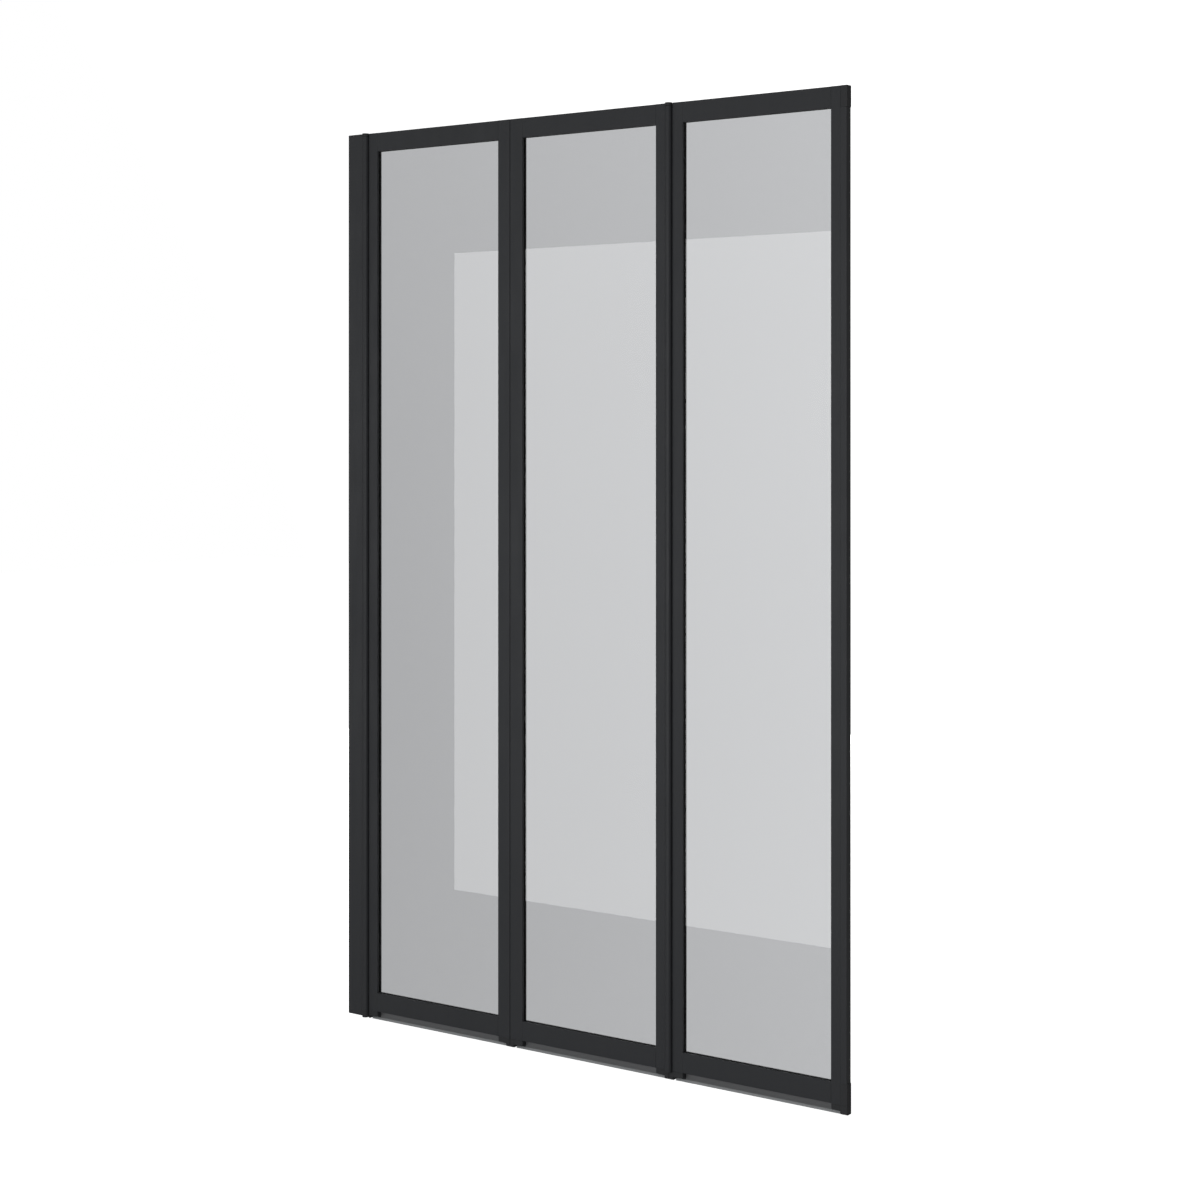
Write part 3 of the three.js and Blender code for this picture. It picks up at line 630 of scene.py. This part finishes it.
def soften(node, width, segments, name, material):
    """A copy of a CAD node with its sharp edges rounded."""
    form = bmesh.new()
    form.from_mesh(frame["nodes"][node].data)
    bmesh.ops.remove_doubles(form, verts=form.verts, dist=MERGE)
    bmesh.ops.dissolve_limit(form, angle_limit=FLAT_WITHIN, verts=form.verts, edges=form.edges)
    sharp = [e for e in form.edges if len(e.link_faces) == 2 and e.calc_face_angle() > SHARP_FROM]
    mark_edge_faces(form, round_edges(form, sharp, width, segments))
    return finish_piece(form, name, node, material)


METAL_EDGE = 0.28 * MM
MOULDED_EDGE = 0.45 * MM
metal_nodes = ["wall_channel", "hinge_post", "panel_3_end_stile", "edge_profile"]
metal_nodes += [f"panel_{k}_{part}" for k in PANELS for part in ("hinge_stile", "top_rail", "bottom_rail")]
metal_nodes += [f"panel_{k}_tube_stile" for k in BEAD_PANELS]
for node in metal_nodes:
    soften(node, METAL_EDGE, 2, f"{node}_coated", powder_coat)
print("coated sections:", len(metal_nodes))

moulded_nodes = ["wall_cap_top", "wall_cap_bottom", "corner_cap_top", "corner_cap_bottom"]
moulded_nodes += [f"panel_{k}_{part}" for k in PANELS
                  for part in ("end_block_left", "end_block_right", "pivot_top", "pivot_bottom")]
moulded_nodes += [f"panel_{k}_{part}" for k in BEAD_PANELS for part in ("tube_plug", "tube_foot")]
for node in moulded_nodes:
    soften(node, MOULDED_EDGE, 3, f"{node}_moulded", moulded_plastic)
print("moulded parts:", len(moulded_nodes))

# %% [markdown]
# ## Panes
#
# A toughened pane is cut, and then its edges are ground before it goes in the furnace, so it
# has a narrow ground slope all round, called the arris. A cube is brought to the pane's size
# and one flat bevel makes it.

# %% Panes
ARRIS = 0.6 * MM


def block_form(low, high):
    """A bmesh box between two corners."""
    form = bmesh.new()
    size, centre = high - low, (high + low) / 2
    place = Matrix.Translation(centre) @ Matrix.Diagonal((*size, 1))
    bmesh.ops.create_cube(form, size=1.0, matrix=place)
    return form


for k in PANELS:
    node = f"panel_{k}_glass"
    pane = block_form(*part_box(node))
    round_edges(pane, pane.edges[:], ARRIS, 1)
    piece = finish_piece(pane, f"{node}_pane", node, grey_glass)
    panes.objects.link(piece)
    all_but_panes.objects.link(piece)
for linked in all_but_panes.collection_objects:
    linked.light_linking.link_state = "EXCLUDE"
print("panes:", len(PANELS))

# %% [markdown]
# ## Gaskets
#
# One rubber channel runs round each pane, mitred at the corners. Its section is drawn once, as
# a loop of points given by how far they lie outside the opening and how deep they lie in the
# frame. The loop is placed at each corner of the opening, in the plane of the mitre, and
# neighbouring loops are bridged. The two lips that show are then rounded.

# %% Gaskets
GASKET_LIP = 0.4 * MM
GASKET_SLOPE = 0.9 * MM
GLASS_GAP = 0.12 * MM
GASKET_WEB = 1.2 * MM
GASKET_NOSE = 0.5 * MM
GASKET_EDGE = 0.2 * MM
SHORTEST_RUN = 0.05
BENT_FROM = math.radians(15)


def gasket_section(half_outside, half_glass, reach):
    """Points (outside the opening, depth) round the U-shaped section."""
    inner = half_glass + GLASS_GAP
    side = [
        (reach, half_outside), (GASKET_SLOPE, half_outside),
        (-GASKET_LIP, half_outside - GASKET_NOSE),
        (-GASKET_LIP, inner), (reach - GASKET_WEB, inner),
    ]
    return side + [(out, -depth) for out, depth in reversed(side)]


def mitred_ring(section, low_x, high_x, low_z, high_z):
    """The section carried round a rectangle, with a mitre at each corner."""
    form = bmesh.new()
    corners = (
        (low_x, low_z, -1, -1), (high_x, low_z, 1, -1),
        (high_x, high_z, 1, 1), (low_x, high_z, -1, 1),
    )
    loops = []
    for x, z, toward_x, toward_z in corners:
        points = [form.verts.new((x + toward_x * out, depth, z + toward_z * out))
                  for out, depth in section]
        loops.append([form.edges.new((a, b)) for a, b in zip(points, points[1:] + points[:1])])
    for loop, following in zip(loops, loops[1:] + loops[:1]):
        bmesh.ops.bridge_loops(form, edges=loop + following)
    bmesh.ops.recalc_face_normals(form, faces=form.faces)
    return form


for k in PANELS:
    node = f"panel_{k}_gasket"
    low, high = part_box(node)
    glass_low, glass_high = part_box(f"panel_{k}_glass")
    stile_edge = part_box(f"panel_{k}_hinge_stile")[1].x
    reach = stile_edge - low.x
    ring = mitred_ring(gasket_section(high.y, glass_high.y, reach),
                       low.x + reach, high.x - reach, low.z + reach, high.z - reach)
    lip_edges = [e for e in ring.edges
                 if e.calc_length() > SHORTEST_RUN and e.calc_face_angle() > BENT_FROM]
    mark_edge_faces(ring, round_edges(ring, lip_edges, GASKET_EDGE, 2))
    finish_piece(ring, f"{node}_ring", node, rubber)
print("gaskets:", len(PANELS))

# %% [markdown]
# ## Drip seals
#
# The blade is a box with two draw grooves. The lip is a thin fin: a short row of points curves
# forward as it goes down, the row is drawn along the panel, the long edge waves by a few tenths
# of a millimetre as soft vinyl does, and a solidify operator gives it its thickness.

# %% Drip blade
GROOVES = ((0.16, 0.26), (0.60, 0.70))
GROOVE_SLOPE = 0.2 * MM
GROOVE_DEPTH = 0.15 * MM


def blade_form(low, high):
    """A box with draw grooves between the given shares of its height, on both sides."""
    form = block_form(low, high)
    height = high.z - low.z
    for foot, top in GROOVES:
        for share in (foot, top):
            bmesh.ops.bisect_plane(form, geom=form.verts[:] + form.edges[:] + form.faces[:],
                                   plane_co=(0, 0, low.z + share * height), plane_no=(0, 0, 1))
    grooved = []
    for face in form.faces:
        share = (face.calc_center_median().z - low.z) / height
        if abs(face.normal.y) > 0.9 and any(foot < share < top for foot, top in GROOVES):
            grooved.append(face)
    bmesh.ops.inset_region(form, faces=grooved, thickness=GROOVE_SLOPE, depth=-GROOVE_DEPTH)
    return form


# %% Drip lip
FIN_STEPS = 5
FIN_SPANS = 60
FIN_THICKNESS = 0.45 * MM
FIN_SWEEP = 1.3
WAVE_HEIGHT = 0.22 * MM
SAME_PLACE = 1e-7


def fin_form(low, high, blade_front):
    """A thin curved sheet that hangs from the blade and sweeps forward down to the rim."""
    form = bmesh.new()
    top_y = blade_front + FIN_THICKNESS
    foot_y = low.y + FIN_THICKNESS
    row = []
    for step in range(FIN_STEPS + 1):
        share = step / FIN_STEPS
        y = top_y + (foot_y - top_y) * share ** FIN_SWEEP
        row.append(form.verts.new((low.x, y, high.z + (low.z - high.z) * share)))
    edges = [form.edges.new(pair) for pair in zip(row, row[1:])]
    span = Vector(((high.x - low.x) / FIN_SPANS, 0, 0))
    for _ in range(FIN_SPANS):
        made = bmesh.ops.extrude_edge_only(form, edges=edges)["geom"]
        points = [v for v in made if isinstance(v, bmesh.types.BMVert)]
        bmesh.ops.translate(form, verts=points, vec=span)
        edges = [e for e in made if isinstance(e, bmesh.types.BMEdge)
                 and abs(e.verts[0].co.x - e.verts[1].co.x) < SAME_PLACE]
    height = high.z - low.z
    for vertex in form.verts:
        hang = (high.z - vertex.co.z) / height
        along = (vertex.co.x - low.x) / (high.x - low.x)
        wave = math.sin(along * 31.0 + 4.0 * math.sin(along * 7.0))  # about five uneven waves
        vertex.co.y += WAVE_HEIGHT * hang * hang * (1 + wave) / 2
    bmesh.ops.solidify(form, geom=form.faces[:], thickness=FIN_THICKNESS)
    bmesh.ops.recalc_face_normals(form, faces=form.faces)
    return form


for k in PANELS:
    blade_node, lip_node = f"panel_{k}_drip_blade", f"panel_{k}_drip_lip"
    blade_low, blade_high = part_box(blade_node)
    blade = blade_form(blade_low, blade_high)
    finish_piece(blade, f"panel_{k}_drip_strip", blade_node, blade_vinyl)
    fin = fin_form(*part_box(lip_node), blade_low.y)
    finish_piece(fin, f"panel_{k}_drip_fin", lip_node, lip_vinyl)
print("drip seals:", len(PANELS))

# %% [markdown]
# ## Hinge seals
#
# A rubber strip lies in the edge of each turning stile and closes the seam on the side away
# from the bead. It is a bar whose showing side is rounded like a bulb.

# %% Hinge seals
BULB_ROUND = 0.9 * MM

for k in PANELS:
    node = f"panel_{k}_hinge_seal"
    low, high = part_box(node)
    strip = block_form(low, high)
    upright = [e for e in strip.edges if e.calc_length() > (high.z - low.z) / 2]
    showing = [e for e in upright if e.verts[0].co.x < (low.x + high.x) / 2]
    mark_edge_faces(strip, round_edges(strip, showing, BULB_ROUND, 5))
    finish_piece(strip, f"{node}_bulb", node, rubber)
print("hinge seals:", len(PANELS))

# %% [markdown]
# ## Lock screws
#
# Three countersunk screws in the back flange fix the post in its channel. A screw could be spun
# from a profile, but its slot isn't round, so it grows from its head instead. The slot starts as
# a rectangle in the middle, the head between it and the rim is filled, and the rectangle is
# pushed in. Then the rim is extruded down the cone, the shank and the point.

# %% Lock screws
SCREWS = (1, 2, 3)
SCREW_SIDES = 48
SHANK_SHARE = 0.48
RIM_DEPTH = 0.12 * MM
RIM_SHARE = 0.97
POINT_SHARE = 0.35
SLOT_HALF_LENGTH = 1.4 * MM
SLOT_HALF_WIDTH = 0.35 * MM
SLOT_DEPTH = 0.8 * MM
SCREW_POINT = 1.4 * MM


def screw_form(low, high):
    """A countersunk screw along Y whose head lies flush at the high side."""
    head_radius = (high.x - low.x) / 2
    shank_radius = head_radius * SHANK_SHARE
    form = bmesh.new()
    corners = bmesh.ops.create_grid(form, x_segments=1, y_segments=1, size=1.0)["verts"]
    bmesh.ops.scale(form, verts=corners, vec=(SLOT_HALF_LENGTH, SLOT_HALF_WIDTH, 1))
    slot = corners[0].link_faces[0]
    slot_edges = list(slot.edges)
    bmesh.ops.create_circle(form, cap_ends=False, radius=head_radius, segments=SCREW_SIDES)
    edges = [e for e in form.edges if e not in slot_edges]
    bmesh.ops.triangle_fill(form, use_beauty=True, edges=edges + slot_edges)
    sunk = bmesh.ops.extrude_face_region(form, geom=[slot])["geom"]
    floor_points = [v for v in sunk if isinstance(v, bmesh.types.BMVert)]
    bmesh.ops.delete(form, geom=[slot], context="FACES_ONLY")
    bmesh.ops.translate(form, verts=floor_points, vec=(0, 0, -SLOT_DEPTH))
    length = high.y - low.y
    outline = (
        (head_radius * RIM_SHARE, RIM_DEPTH), (shank_radius, head_radius - shank_radius),
        (shank_radius, length - SCREW_POINT), (shank_radius * POINT_SHARE, length),
    )
    for radius, depth in outline:
        made = bmesh.ops.extrude_edge_only(form, edges=edges)["geom"]
        ring = [v for v in made if isinstance(v, bmesh.types.BMVert)]
        edges = [e for e in made if isinstance(e, bmesh.types.BMEdge)
                 and all(v in ring for v in e.verts)]
        for vertex in ring:
            flat = Vector((vertex.co.x, vertex.co.y, 0)).normalized() * radius
            vertex.co = Vector((flat.x, flat.y, -depth))
    bmesh.ops.contextual_create(form, geom=edges)
    bmesh.ops.recalc_face_normals(form, faces=form.faces)
    place = Matrix.Translation(((low.x + high.x) / 2, high.y, (low.z + high.z) / 2))
    turn = Matrix.Rotation(math.radians(-90), 4, "X")
    bmesh.ops.transform(form, matrix=place @ turn, verts=form.verts)
    return form


for number in SCREWS:
    node = f"lock_screw_{number}"
    finish_piece(screw_form(*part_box(node)), f"{node}_turned", node, turned_steel)
print("lock screws:", len(SCREWS))

# %% [markdown]
# ## Bushes
#
# The pins turn in acetal bushes that sit in both ends of each bead. They are plain turned
# tubes and hardly show, so the CAD's own shapes stay and only get their finish.

# %% Bushes
bush_nodes = [n for n in frame["nodes"] if "bush" in n]
for node in bush_nodes:
    for material_slot in frame["nodes"][node].material_slots:
        material_slot.material = acetal
print("bushes:", len(bush_nodes))
